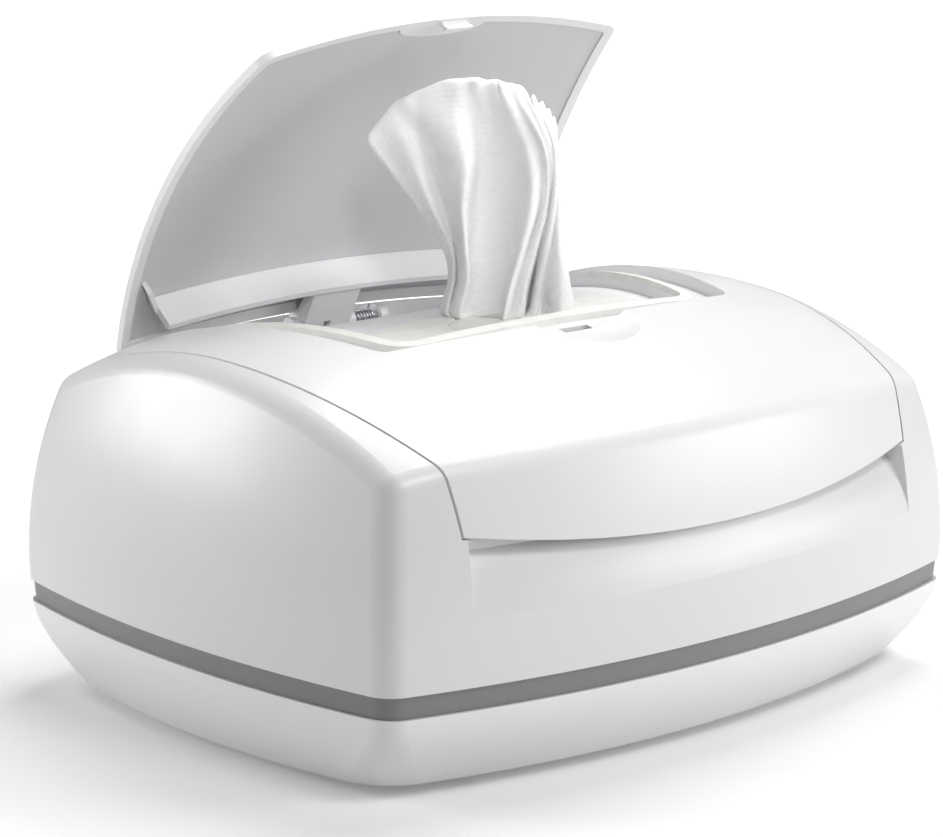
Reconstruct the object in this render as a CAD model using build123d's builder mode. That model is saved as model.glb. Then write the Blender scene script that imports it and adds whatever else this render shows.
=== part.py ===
from build123d import *
import os
from math import acos, asin, atan2, cos, degrees, hypot, pi, radians, sin, sqrt

os.makedirs("parts", exist_ok=True)

# ---------------------------------------------------------------------------
# Warmer for baby wipes. Millimetres. The origin is on the floor under the
# middle of the body, +Z is up, the front with the lid's lip faces -Y.
# The flip lid is drawn closed and then opened to its stop, as it stands at rest.
# ---------------------------------------------------------------------------

# Body seen from above
body_width = 257.0          # across the middle of the two sides
body_depth = 215.0          # across the middle of front and back
side_bulge = 9.1            # how far a side swells between its corners
front_bulge = 18.2          # the same for front and back
corner_radius = 10.0
wall = 2.5

# Body heights
foot_height = 3.5
band_bottom = 28.0
band_top = 35.0
widest_height = 44.0        # the walls lean in above this height
wall_arc_radius = 175.0     # side view radius of the leaning walls
closed_height = 128.0       # crest of the arched top
arch_radius = 191.5         # front to back radius of the top
arch_offset = 3.2           # the crest lies this far behind the middle
crown_radius = 595.0        # left to right radius of the top's middle
crown_half = 90.0
shoulder_radius = 126.0     # left to right radius beyond it
top_edge_radius = 9.0

# Base shell
base_side_inset = 8.4       # how far the base draws in towards the floor
base_front_inset = 12.9
base_edge_inset = 0.6       # step where it meets the band
base_corner_growth = 12.0
base_draw_power = 1.6
floor_thickness = 2.5

# Trim band
band_inset = 0.8
band_thickness = 3.2

# Main lid
lid_gap = 0.8               # all round the main lid
seam_half = 106.8           # half width of the main lid at and behind its middle
seam_radius = 320.0         # plan radius of its side edges in front of that
lip_height = 70.2           # lowest point of the lip, in the middle
lip_radius = 538.0          # front view radius of the lip
skirt_wall = 2.0

# Main hinge
hinge_reach = 4.6           # axis to the rear wall
knuckle_radius = 3.8
main_pin_radius = 1.6
main_pin_fit = 0.05
knuckle_gap = 0.4
main_knuckle_centre = 41.0
lid_knuckle_width = 9.2
housing_knuckle_width = 6.0
main_lid_travel = 100.0     # degrees, closed to open

# Finger scoop under the lip
scoop_bottom = 50.0
scoop_top = 77.0
scoop_depth = 9.0
scoop_depth_height = 73.0
scoop_half = 93.0

# Deck and tub
deck_bottom = 58.0
deck_thickness = 2.5
tub_half_length = 93.0      # inside, at the rim
tub_half_width = 61.0
tub_corner = 14.0
tub_wall = 1.6
tub_taper = 4.0
tub_floor_height = 19.6
tub_flange = 3.0
tub_fit = 0.7               # tub wall to the deck's opening

# Screws between base and housing
post_x = 82.0
post_y = 78.0
post_radius = 4.5
post_foot = 14.0
screw_radius = 1.5
screw_hole_radius = 1.6
screw_head_radius = 3.4
screw_head_height = 2.4

# Feet
foot_x = 92.0
foot_y = 58.0
foot_radius = 9.0
foot_plug_radius = 4.0
foot_fit = 0.1

# Flip lid
flip_front_half = 73.5
flip_front_y = -33.0
flip_front_crest = -41.5
flip_side_half = 82.5
flip_side_y = 15.0
flip_rear_half = 84.5
flip_rear_y = 84.0
flip_corner = 6.0
flip_gap = 0.5
flip_axis_y = 86.1
flip_axis_z = 102.4
flip_open_angle = 49.1
flip_edge = 2.6             # thickness along the edge
flip_skin = 1.4             # thickness inside the edge
flip_rim = 3.5              # width of the thick edge
liner_skin = 0.6

# Recess in the main lid that takes the flip lid
recess_depth = 4.4
recess_floor = 2.2
recess_rear_crest = 92.2
recess_rear_side = 86.0
trough_half = 81.0
trough_front = 54.0
trough_floor = 97.5
trough_wall = 2.0

# Well with the dispenser plate, which is level from left to right
well_front_half = 60.5
well_front_y = -27.0
well_front_crest = -30.5
well_side_half = 68.0
well_side_y = 15.0
well_rear_half = 70.0
well_rear_y = 62.0
well_corner = 8.0
well_depth = 7.6            # at the well's rear corners
well_wall = 1.8
gasket_width = 4.0
gasket_height = 2.0
gasket_fit = 0.1
plate_thickness = 1.6
plate_margin = 1.8
insert_half_length = 56.0
insert_half_width = 19.5
insert_y = -9.5
insert_step = 2.5
insert_thickness = 1.0
insert_fit = 0.1
orifice_half_length = 23.0
orifice_half_width = 15.0

# Thumb scoop and latch
thumb_radius = 20.0
thumb_depth = 4.4
thumb_wall = 1.5
hook_half = 5.3
hook_rear_y = -38.4
hook_thickness = 1.4
hook_nose = 0.5
hook_nose_height = 1.0
hook_drop = 6.0
hook_room = 0.55
lens_half = 17.5
lens_centre = (-2.5, -37.0)
lens_half_width = 5.8
lens_skin = 0.9

# Flip hinge
flip_pin_radius = 1.5
flip_pin_fit = 0.05
flip_pin_half = 28.5
flip_knuckle_radius = 3.4
ear_radius = 3.6
ear_width = 3.0
hinge_side_gap = 0.3
knuckle_slot_half = 1.5
knuckle_half = 10.0
outer_ear_start = 24.5
arm_thickness = 3.0
spring_wire_radius = 0.35
spring_fit = 0.35           # wire to pin
spring_pitch = 1.2
spring_quarters = 25        # quarter turns of the coil
spring_first_angle = -70.0  # where round the pin the coil starts, in degrees
spring_leg = 3.4
flange_y = 68.5
flange_thickness = 1.6
flange_half = 74.5
flange_drop = 13.0
rib_end = (79.6, 61.0)
rib_drop = 6.5

# Lid liner and seal
liner_height = 84.0
liner_thickness = 1.6
ring_reach = 3.0            # outside of the sealing ring to the tub's inner rim
ring_wall = 1.8
liner_fit = 0.4
liner_opening_length = 164.0
liner_opening_width = 104.0
seal_height = 2.2
seal_width = 4.0
seal_gap = 0.3
liner_screw_x = 88.5
liner_screw_front = -45.0
liner_screw_rear = 55.0
liner_boss_radius = 3.2
small_screw_radius = 1.1
small_hole_radius = 1.2
small_head_radius = 2.4
small_head_height = 1.6

# Heating
heater_length = 160.0
heater_width = 96.0
heater_thickness = 1.5
film_length = 150.0
film_width = 86.0
film_thickness = 0.4
film_tab_width = 20.0
film_tab_reach = 14.0
pad_length = 170.0
pad_width = 106.0
sensor_height = 4.0
sensor_gap = 0.3

# Board and inlet
board_length = 72.0
board_width = 20.0
board_thickness = 1.6
board_y = 83.0
board_height = 12.0
board_post_radius = 2.6
board_post_x = 31.0
board_post_y = 6.0
jack_x = -62.0
jack_z = 17.0
jack_collar_radius = 5.0
jack_bore_radius = 2.8
jack_bore_depth = 9.5
jack_pin_radius = 1.0
jack_hole_fit = 0.2
wire_radius = 0.9

# Moisture pad and wipe
moisture_thickness = 3.0
moisture_gap = 0.3
wipe_turn = -44.6           # the wipe's folds run across this direction, degrees about Z
wipe_thickness = 3.0
wipe_folds = 2
wipe_neck_half = 15.5       # half its width in the orifice
wipe_neck_fold = 2.2

# Worked out from the above
corner_x = body_width / 2 - side_bulge
corner_y = body_depth / 2 - front_bulge
arch_axis_z = closed_height - arch_radius
base_bottom = foot_height
front_radius = (corner_x ** 2 + front_bulge ** 2) / (2 * front_bulge)
rear_split = lip_height + lip_radius - sqrt(lip_radius ** 2 - seam_half ** 2)
deck_top = deck_bottom + deck_thickness
flange_top = deck_top + tub_wall
beyond = body_width         # longer than any cut through the body
behind = (Align.CENTER, Align.MIN, Align.CENTER)


def lean(height):
    """How far the wall leans in at a height above the band."""
    return (height - widest_height) ** 2 / (2 * wall_arc_radius)


def rear_wall_y(x, height):
    """Outer face of the rear wall, the corners left out."""
    return corner_y + front_bulge * (1 - (x / corner_x) ** 2) - lean(height)


def crown_drop(x):
    """How far the top lies under its crest line at a distance from the middle."""
    if abs(x) <= crown_half:
        return crown_radius - sqrt(crown_radius ** 2 - x ** 2)
    turn = asin(crown_half / crown_radius)
    centre_x = crown_half - shoulder_radius * sin(turn)
    centre_drop = crown_radius * (1 - cos(turn)) + shoulder_radius * cos(turn)
    return centre_drop - sqrt(shoulder_radius ** 2 - (abs(x) - centre_x) ** 2)


def top_z(x, y, drop=0.0):
    """Height of the arched top, or of a surface that far under it."""
    radius = arch_radius - crown_drop(x) - drop
    return arch_axis_z + sqrt(radius ** 2 - (y - arch_offset) ** 2)


def body_block(inset, levels):
    """The body's form above the band, walls moved in by inset, with a flat top."""
    with BuildPart() as block:
        for level in levels:
            half_x = corner_x - inset - lean(level)
            half_y = corner_y - inset - lean(level)
            with BuildSketch(Plane.XY.offset(level)) as section:
                with BuildLine():
                    ThreePointArc((-half_x, -half_y), (0, -half_y - front_bulge), (half_x, -half_y))
                    ThreePointArc((half_x, -half_y), (half_x + side_bulge, 0), (half_x, half_y))
                    ThreePointArc((half_x, half_y), (0, half_y + front_bulge), (-half_x, half_y))
                    ThreePointArc((-half_x, half_y), (-half_x - side_bulge, 0), (-half_x, -half_y))
                make_face()
                fillet(section.vertices(), corner_radius - inset)
        loft()
    return block.part


def base_block(inset, levels):
    """The base shell's form between the floor and the band, walls moved in by inset."""
    with BuildPart() as block:
        for level in levels:
            draw = max(0, (band_bottom - level) / (band_bottom - base_bottom)) ** base_draw_power
            half_x = corner_x - base_edge_inset - inset - base_side_inset * draw
            half_y = corner_y - base_edge_inset - inset - base_front_inset * draw
            with BuildSketch(Plane.XY.offset(level)) as section:
                with BuildLine():
                    ThreePointArc((-half_x, -half_y), (0, -half_y - front_bulge), (half_x, -half_y))
                    ThreePointArc((half_x, -half_y), (half_x + side_bulge, 0), (half_x, half_y))
                    ThreePointArc((half_x, half_y), (0, half_y + front_bulge), (-half_x, half_y))
                    ThreePointArc((-half_x, half_y), (-half_x - side_bulge, 0), (-half_x, -half_y))
                make_face()
                fillet(section.vertices(), corner_radius - inset + base_corner_growth * draw)
        loft()
    return block.part


def arch_block(drop):
    """Everything under the arched top, or under a surface that far below it."""
    turn = degrees(asin(crown_half / crown_radius))
    shoulder_x = crown_half - shoulder_radius * sin(radians(turn))
    shoulder_z = closed_height - crown_radius + (crown_radius - shoulder_radius) * cos(radians(turn))
    end_angle = degrees(acos((body_width / 2 - shoulder_x) / shoulder_radius))
    sweep = 90 - turn - end_angle
    with BuildPart() as block:
        with BuildSketch(Plane.XZ.offset(-arch_offset)):
            with BuildLine():
                crest_centre = (0, closed_height - crown_radius)
                CenterArc(crest_centre, crown_radius - drop, 90 - turn, 2 * turn)
                right = CenterArc((shoulder_x, shoulder_z), shoulder_radius - drop, end_angle, sweep)
                left = CenterArc((-shoulder_x, shoulder_z), shoulder_radius - drop, 90 + turn, sweep)
                foot_right = ((right @ 0).X, arch_axis_z)
                foot_left = ((left @ 1).X, arch_axis_z)
                Polyline(right @ 0, foot_right, foot_left, left @ 1)
            make_face()
        revolve(axis=Axis((0, arch_offset, arch_axis_z), (1, 0, 0)))
    return block.part


def seam_prism(gap):
    """Upright prism between the main lid's side seams, gap wider on either side."""
    half = seam_half + gap
    reach = body_depth / 2 + 15
    front_half = half - seam_radius + sqrt(seam_radius ** 2 - reach ** 2)
    with BuildPart() as prism:
        with BuildSketch():
            with BuildLine():
                left_arc = TangentArc((-half, 0), (-front_half, -reach), tangent=(0, -1))
                right_arc = TangentArc((half, 0), (front_half, -reach), tangent=(0, -1))
                Line(left_arc @ 1, right_arc @ 1)
                Polyline(left_arc @ 0, (-half, reach), (half, reach), right_arc @ 0)
            make_face()
        extrude(amount=1.1 * closed_height)
    return prism.part


def lid_room(gap):
    """The space of the main lid: between the seams and above the lip and rear split."""
    reach = body_depth
    with BuildPart() as room:
        add(seam_prism(gap))
        with BuildSketch(Plane.XZ):
            with BuildLine():
                side_z = rear_split - gap
                lip = ThreePointArc((-seam_half, side_z), (0, lip_height - gap), (seam_half, side_z))
                Polyline(lip @ 0, (-beyond, side_z), (-beyond, 0), (beyond, 0), (beyond, side_z), lip @ 1)
            make_face()
        extrude(amount=reach, mode=Mode.SUBTRACT)
        with Locations((0, reach / 2, 0)):
            Box(2 * beyond, reach, 2 * (rear_split - gap), mode=Mode.SUBTRACT)
    return room.part


def flip_prism(margin, rear_trim=beyond):
    """Upright prism over the flip lid's recess, margin wider, cut off behind rear_trim."""
    with BuildPart() as prism:
        with BuildSketch(Plane.XY.offset(band_top)) as plan:
            with BuildLine():
                crest = (0, flip_front_crest)
                front = ThreePointArc((-flip_front_half, flip_front_y), crest, (flip_front_half, flip_front_y))
                right = ThreePointArc(front @ 1, (flip_side_half, flip_side_y), (flip_rear_half, flip_rear_y))
                left = ThreePointArc(front @ 0, (-flip_side_half, flip_side_y), (-flip_rear_half, flip_rear_y))
                right_end = Line(right @ 1, (flip_rear_half, recess_rear_side))
                left_end = Line(left @ 1, (-flip_rear_half, recess_rear_side))
                ThreePointArc(left_end @ 1, (0, recess_rear_crest), right_end @ 1)
            make_face()
            if margin:
                offset(amount=margin, kind=Kind.INTERSECTION)
            fillet(plan.vertices().group_by(Axis.Y)[0], flip_corner + margin)
        extrude(amount=closed_height)
        with Locations((0, rear_trim, 0)):
            Box(2 * beyond, beyond, 3 * closed_height, align=behind, mode=Mode.SUBTRACT)
    return prism.part


def well_prism(margin):
    """Upright prism over the well's outline, margin wider."""
    with BuildPart() as prism:
        with BuildSketch(Plane.XY.offset(band_top)) as plan:
            with BuildLine():
                crest = (0, well_front_crest)
                front = ThreePointArc((-well_front_half, well_front_y), crest, (well_front_half, well_front_y))
                right = ThreePointArc(front @ 1, (well_side_half, well_side_y), (well_rear_half, well_rear_y))
                left = ThreePointArc(front @ 0, (-well_side_half, well_side_y), (-well_rear_half, well_rear_y))
                Line(right @ 1, left @ 1)
            make_face()
            if margin:
                offset(amount=margin, kind=Kind.INTERSECTION)
            fillet(plan.vertices(), well_corner + margin)
        extrude(amount=closed_height)
    return prism.part


def ellipse_prism(half_length, half_width, centre_y):
    """Upright prism over an ellipse on the lid's centre line."""
    with BuildPart() as prism:
        with BuildSketch(Plane.XY.offset(band_top)):
            with Locations((0, centre_y)):
                Ellipse(half_length, half_width)
        extrude(amount=closed_height)
    return prism.part


def layer(top_drop, bottom_drop):
    """Slice of the arched top between two depths under its surface."""
    with BuildPart() as slice_part:
        add(arch_block(top_drop))
        add(arch_block(bottom_drop), mode=Mode.SUBTRACT)
    return slice_part.part


def plate_block(drop):
    """Everything under the dispenser plate's top, or under a surface that far below it."""
    plate_radius = arch_radius - crown_drop(well_rear_half) - well_depth
    with BuildPart() as block:
        with BuildSketch(Plane.YZ.offset(-body_width)):
            with Locations((arch_offset, arch_axis_z)):
                Circle(plate_radius - drop)
        extrude(amount=2 * body_width)
    return block.part


def plate_layer(top_drop, bottom_drop):
    """Slice between two depths under the dispenser plate's top, in front of the trough."""
    with BuildPart() as slice_part:
        add(plate_block(top_drop))
        add(plate_block(bottom_drop), mode=Mode.SUBTRACT)
        with Locations((0, trough_front, 0)):
            Box(2 * beyond, beyond, 3 * closed_height, align=behind, mode=Mode.SUBTRACT)
    return slice_part.part


def band_ring(inset, thickness, low, high):
    """A ring that follows the body's walls between two heights."""
    with BuildPart() as ring:
        add(body_block(inset, [low, high]))
        add(body_block(inset + thickness, [low, high]), mode=Mode.SUBTRACT)
    return ring.part


def slab(low, high):
    """A flat slice through everything between two heights."""
    with BuildPart() as slice_part:
        with BuildSketch(Plane.XY.offset(low)):
            Rectangle(2 * beyond, 2 * beyond)
        extrude(amount=high - low)
    return slice_part.part


def scoop_block(backing):
    """The finger scoop's hollow in the front wall, or that hollow grown by its backing."""
    reach = front_radius - scoop_depth - backing
    start = front_radius - backing
    centre_y = front_radius - body_depth / 2
    half_angle = degrees(asin(scoop_half / front_radius) + backing / front_radius)
    with BuildPart() as block:
        with BuildSketch(Plane.YZ):
            with BuildLine():
                slope = TangentArc(
                    (centre_y - start, scoop_bottom),
                    (centre_y - reach, scoop_depth_height),
                    tangent=(0, 1),
                )
                outside = centre_y - front_radius - wall
                back_top = (centre_y - reach, scoop_top)
                Polyline(slope @ 1, back_top, (outside, scoop_top), (outside, scoop_bottom), slope @ 0)
            make_face()
        revolve(axis=Axis((0, centre_y, 0), (0, 0, 1)), revolution_arc=half_angle)
        mirror(about=Plane.YZ)
    return block.part


def tub_block(grow, low, high):
    """The tub's tapered form, walls moved out by grow, between two heights."""
    with BuildPart() as block:
        for level in (low, high):
            taper = tub_taper * (flange_top - level) / (flange_top - tub_floor_height)
            half_length = tub_half_length + grow - taper
            half_width = tub_half_width + grow - taper
            with BuildSketch(Plane.XY.offset(level)):
                RectangleRounded(2 * half_length, 2 * half_width, tub_corner + grow)
        loft()
    return block.part


# ---------------------------------------------------------------------------
# Outer form shared by the housing and the main lid
# ---------------------------------------------------------------------------
body_levels = [band_top, widest_height, 65, 85, 105, closed_height + 4]
inner_levels = [band_top - 4, widest_height, 65, 85, 105, closed_height + 4]

with BuildPart() as outer_form:
    add(body_block(0, body_levels))
    add(arch_block(0), mode=Mode.INTERSECT)
    top_face = outer_form.faces().sort_by(Axis.Z)[-1]
    fillet(top_face.edges(), top_edge_radius)

with BuildPart() as inner_form:
    add(body_block(wall, inner_levels))
    add(arch_block(wall), mode=Mode.INTERSECT)
    top_face = inner_form.faces().sort_by(Axis.Z)[-1]
    fillet(top_face.edges(), top_edge_radius - wall)

# ---------------------------------------------------------------------------
# Base shell with its screw posts, board posts and openings
# ---------------------------------------------------------------------------
base_levels = [base_bottom, 8.5, 14, 21, band_bottom]
floor_top = base_bottom + floor_thickness
post_places = [(x, y) for x in (-post_x, post_x) for y in (-post_y, post_y)]
foot_places = [(x, y) for x in (-foot_x, foot_x) for y in (-foot_y, foot_y)]
board_post_places = [
    (x, board_y + y) for x in (-board_post_x, board_post_x) for y in (-board_post_y, board_post_y)
]
screw_seat = base_bottom + screw_head_height + 0.6

with BuildPart() as base_shell:
    add(base_block(0, base_levels))
    add(base_block(wall, [floor_top, 8.5, 14, 21, band_bottom]), mode=Mode.SUBTRACT)
    with BuildSketch(Plane.XY.offset(base_bottom)):
        with Locations(*post_places):
            Circle(post_radius)
    extrude(amount=post_foot - base_bottom)
    with BuildSketch(Plane.XY.offset(base_bottom)):
        with Locations(*board_post_places):
            Circle(board_post_radius)
    extrude(amount=board_height - base_bottom)
    with Locations(*[(x, y, base_bottom) for x, y in post_places]):
        Cylinder(screw_head_radius + 0.2, 2 * (screw_seat - base_bottom), mode=Mode.SUBTRACT)
        Cylinder(screw_hole_radius, 2 * post_foot, mode=Mode.SUBTRACT)
    with Locations(*[(x, y, base_bottom) for x, y in foot_places]):
        Cylinder(foot_plug_radius, 4 * floor_thickness, mode=Mode.SUBTRACT)
    with Locations(*[(x, y, board_height) for x, y in board_post_places]):
        Cylinder(small_hole_radius, 2 * (board_height - floor_top), mode=Mode.SUBTRACT)
    with BuildSketch(Plane.XZ):
        with Locations((jack_x, jack_z)):
            Circle(jack_collar_radius + jack_hole_fit)
    extrude(amount=-body_depth, mode=Mode.SUBTRACT)
base_shell.part.label = "base_shell"
export_step(base_shell.part, "parts/base_shell.step")

# Rubber feet, pushed into the floor
with BuildPart() as rubber_feet:
    with BuildSketch():
        with Locations(*foot_places):
            Circle(foot_radius)
    extrude(amount=foot_height)
    chamfer(rubber_feet.faces().sort_by(Axis.Z)[:4].edges(), 0.6)
    with BuildSketch(Plane.XY.offset(foot_height)):
        with Locations(*foot_places):
            Circle(foot_plug_radius - foot_fit)
    extrude(amount=floor_thickness)
rubber_feet.part.label = "rubber_feet"
export_step(rubber_feet.part, "parts/rubber_feet.step")

# Screws from below into the housing's posts
with BuildPart() as base_screws:
    with BuildSketch(Plane.XY.offset(screw_seat - screw_head_height)):
        with Locations(*post_places):
            Circle(screw_head_radius)
    extrude(amount=screw_head_height)
    with BuildSketch(Plane.XY.offset(screw_seat)):
        with Locations(*post_places):
            Circle(screw_radius)
    extrude(amount=2 * post_foot - screw_seat - 1)
    with Locations(*[(x, y, screw_seat - screw_head_height) for x, y in post_places]):
        Box(2 * screw_radius, 0.7, 1.6, mode=Mode.SUBTRACT)
        Box(0.7, 2 * screw_radius, 1.6, mode=Mode.SUBTRACT)
base_screws.part.label = "base_screws"
export_step(base_screws.part, "parts/base_screws.step")

# ---------------------------------------------------------------------------
# Trim band between base and housing
# ---------------------------------------------------------------------------
with BuildPart() as trim_band:
    add(band_ring(band_inset, band_thickness, band_bottom, band_top))
trim_band.part.label = "trim_band"
export_step(trim_band.part, "parts/trim_band.step")

# ---------------------------------------------------------------------------
# Upper housing: outer shell, wing walls beside the lid, scoop, deck and posts
# ---------------------------------------------------------------------------
housing_knuckle_centre = lid_knuckle_width / 2 + knuckle_gap + housing_knuckle_width / 2
knuckle_group_inner = main_knuckle_centre - housing_knuckle_centre - housing_knuckle_width / 2
main_axis_z = rear_split
main_axis_y = rear_wall_y(knuckle_group_inner, rear_split) + hinge_reach


def main_knuckles(places, width, upwards):
    """Knuckles of the main hinge with their webs, which run up or down from the axis."""
    side = 1 if upwards else -1
    web_height = main_axis_z + side * 2.6 * knuckle_radius
    wall_y = main_axis_y - hinge_reach - knuckle_radius
    with BuildPart() as knuckles:
        for x in places:
            with BuildSketch(Plane.YZ.offset(x - width / 2)):
                with BuildLine():
                    Polyline(
                        (main_axis_y, main_axis_z - side * knuckle_radius),
                        (main_axis_y, main_axis_z),
                        (wall_y, main_axis_z + side * lid_gap),
                        (wall_y, web_height),
                        (main_axis_y + knuckle_radius, main_axis_z),
                        (main_axis_y, main_axis_z - side * knuckle_radius),
                    )
                make_face()
                with Locations((main_axis_y, main_axis_z)):
                    Circle(knuckle_radius)
            extrude(amount=width)
        with BuildSketch(Plane.YZ.offset(-seam_half)):
            with Locations((main_axis_y, main_axis_z)):
                Circle(main_pin_radius + main_pin_fit)
        extrude(amount=2 * seam_half, mode=Mode.SUBTRACT)
    return knuckles.part


housing_places = [
    side * main_knuckle_centre + step * housing_knuckle_centre for side in (-1, 1) for step in (-1, 1)
]
lid_places = [-main_knuckle_centre, main_knuckle_centre]

# Walls that close the wings along the seams
with BuildPart() as wing_walls:
    add(seam_prism(lid_gap + skirt_wall))
    add(seam_prism(lid_gap), mode=Mode.SUBTRACT)
    add(outer_form.part, mode=Mode.INTERSECT)
    add(slab(deck_bottom, closed_height), mode=Mode.INTERSECT)

with BuildPart() as deck:
    add(body_block(wall / 2, inner_levels))
    add(slab(deck_bottom, deck_top), mode=Mode.INTERSECT)
    add(tub_block(tub_wall + tub_fit, deck_bottom - 1, flange_top), mode=Mode.SUBTRACT)

with BuildPart() as scoop_wall:
    add(scoop_block(wall))
    add(body_block(wall / 2, inner_levels), mode=Mode.INTERSECT)

# Room for the lid's front wall between its lip and the scoop's wall
with BuildPart() as lip_room:
    add(body_block(-1, [lip_height - 14, closed_height]))
    add(body_block(wall + lid_gap, [lip_height - 15, closed_height + 1]), mode=Mode.SUBTRACT)
    add(lid_room(lid_gap), mode=Mode.INTERSECT)

with BuildPart() as upper_housing:
    add(outer_form.part)
    add(inner_form.part, mode=Mode.SUBTRACT)
    add(lid_room(lid_gap), mode=Mode.SUBTRACT)
    add(wing_walls.part)
    add(deck.part)
    add(scoop_wall.part)
    add(scoop_block(0), mode=Mode.SUBTRACT)
    add(lip_room.part, mode=Mode.SUBTRACT)
    with BuildSketch(Plane.XY.offset(post_foot)):
        with Locations(*post_places):
            Circle(post_radius)
    extrude(amount=deck_bottom - post_foot)
    with Locations(*[(x, y, post_foot) for x, y in post_places]):
        Cylinder(screw_hole_radius, 2 * post_foot, mode=Mode.SUBTRACT)
    add(main_knuckles(housing_places, housing_knuckle_width, False))
upper_housing.part.label = "upper_housing"
export_step(upper_housing.part, "parts/upper_housing.step")

with BuildPart() as main_hinge_pins:
    pin_length = 2 * housing_knuckle_centre + housing_knuckle_width
    for x in lid_places:
        with BuildSketch(Plane.YZ.offset(x - pin_length / 2)):
            with Locations((main_axis_y, main_axis_z)):
                Circle(main_pin_radius)
        extrude(amount=pin_length)
main_hinge_pins.part.label = "main_hinge_pins"
export_step(main_hinge_pins.part, "parts/main_hinge_pins.step")

# ---------------------------------------------------------------------------
# Inner tub, heating and electrics
# ---------------------------------------------------------------------------
tub_bottom = tub_floor_height - tub_wall

with BuildPart() as inner_tub:
    add(tub_block(tub_wall, tub_bottom, deck_top))
    with BuildSketch(Plane.XY.offset(deck_top)):
        flange_reach = tub_wall + tub_flange
        flange_length = 2 * (tub_half_length + flange_reach)
        flange_width = 2 * (tub_half_width + flange_reach)
        RectangleRounded(flange_length, flange_width, tub_corner + flange_reach)
    extrude(amount=tub_wall)
    add(tub_block(0, tub_floor_height, flange_top), mode=Mode.SUBTRACT)
inner_tub.part.label = "inner_tub"
export_step(inner_tub.part, "parts/inner_tub.step")

with BuildPart() as moisture_pad:
    pad_margin = moisture_gap + 2
    add(tub_block(-pad_margin, tub_floor_height, tub_floor_height + moisture_thickness))
    fillet(moisture_pad.faces().sort_by(Axis.Z)[-1].edges(), moisture_thickness / 3)
moisture_pad.part.label = "moisture_pad"
export_step(moisture_pad.part, "parts/moisture_pad.step")

heater_bottom = tub_bottom - heater_thickness
film_bottom = heater_bottom - film_thickness

with BuildPart() as heater_plate:
    with BuildSketch(Plane.XY.offset(heater_bottom)):
        RectangleRounded(heater_length, heater_width, tub_corner / 2)
    extrude(amount=heater_thickness)
heater_plate.part.label = "heater_plate"
export_step(heater_plate.part, "parts/heater_plate.step")

film_tab_x = board_length / 4
film_tab_end = film_width / 2 + film_tab_reach

with BuildPart() as heater_film:
    with BuildSketch(Plane.XY.offset(film_bottom)):
        RectangleRounded(film_length, film_width, tub_corner / 2)
        with Locations((film_tab_x, film_tab_end / 2)):
            Rectangle(film_tab_width, film_tab_end)
    extrude(amount=film_thickness)
heater_film.part.label = "heater_film"
export_step(heater_film.part, "parts/heater_film.step")

# Thermostat and fuse press against the film from below, in pockets of the pad
thermostat_place = (-film_length / 6, 0)
thermostat_radius = 8.0
fuse_place = (film_length / 5, 0)
fuse_length = 18.0
fuse_radius = sensor_height / 2
sensor_bottom = film_bottom - sensor_height

with BuildPart() as thermostat:
    with BuildSketch(Plane.XY.offset(sensor_bottom)):
        with Locations(thermostat_place):
            Circle(thermostat_radius)
            with GridLocations(2 * thermostat_radius + 4, 0, 2, 1):
                Rectangle(8, 5)
    extrude(amount=sensor_height)
    fillet(thermostat.faces().sort_by(Axis.Z)[0].edges(), 0.6)
thermostat.part.label = "thermostat"
export_step(thermostat.part, "parts/thermostat.step")

with BuildPart() as thermal_fuse:
    with BuildSketch(Plane.YZ.offset(fuse_place[0] - fuse_length / 2)):
        with Locations((0, film_bottom - fuse_radius)):
            Circle(fuse_radius)
    extrude(amount=fuse_length)
    chamfer(thermal_fuse.faces().filter_by(Axis.X).edges(), 0.5)
thermal_fuse.part.label = "thermal_fuse"
export_step(thermal_fuse.part, "parts/thermal_fuse.step")

with BuildPart() as insulation_pad:
    with BuildSketch(Plane.XY.offset(floor_top)):
        RectangleRounded(pad_length, pad_width, tub_corner / 2)
    extrude(amount=film_bottom - floor_top)
    with BuildSketch(Plane.XY.offset(sensor_bottom - sensor_gap)):
        with Locations(thermostat_place):
            Rectangle(2 * thermostat_radius + 14, 2 * thermostat_radius + 2)
        with Locations(fuse_place):
            Rectangle(fuse_length + 4, 2 * fuse_radius + 2)
    extrude(amount=film_bottom, mode=Mode.SUBTRACT)
insulation_pad.part.label = "insulation_pad"
export_step(insulation_pad.part, "parts/insulation_pad.step")

# Control board on its posts
board_top = board_height + board_thickness
jack_plug_x = -board_length / 3
connector_depth = 7.0
connector_width = 9.0
connector_height = 6.0
connector_y = board_y - board_width / 2 + connector_depth

with BuildPart() as control_board:
    with BuildSketch(Plane.XY.offset(board_height)):
        with Locations((0, board_y)):
            Rectangle(board_length, board_width)
        with Locations(*board_post_places):
            Circle(small_hole_radius, mode=Mode.SUBTRACT)
    extrude(amount=board_thickness)
    with BuildSketch(Plane.XY.offset(board_top)):
        connector_middle = connector_y + connector_depth / 2
        with Locations((jack_plug_x + 1, connector_middle), (film_tab_x, connector_middle)):
            Rectangle(connector_width, connector_depth)
        with Locations((-8, board_y)):
            Rectangle(10, 12)
    extrude(amount=connector_height)
    with BuildSketch(Plane.XY.offset(board_top)):
        with Locations((5, board_y)):
            Circle(4)
    extrude(amount=1.3 * connector_height)
control_board.part.label = "control_board"
export_step(control_board.part, "parts/control_board.step")


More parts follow.
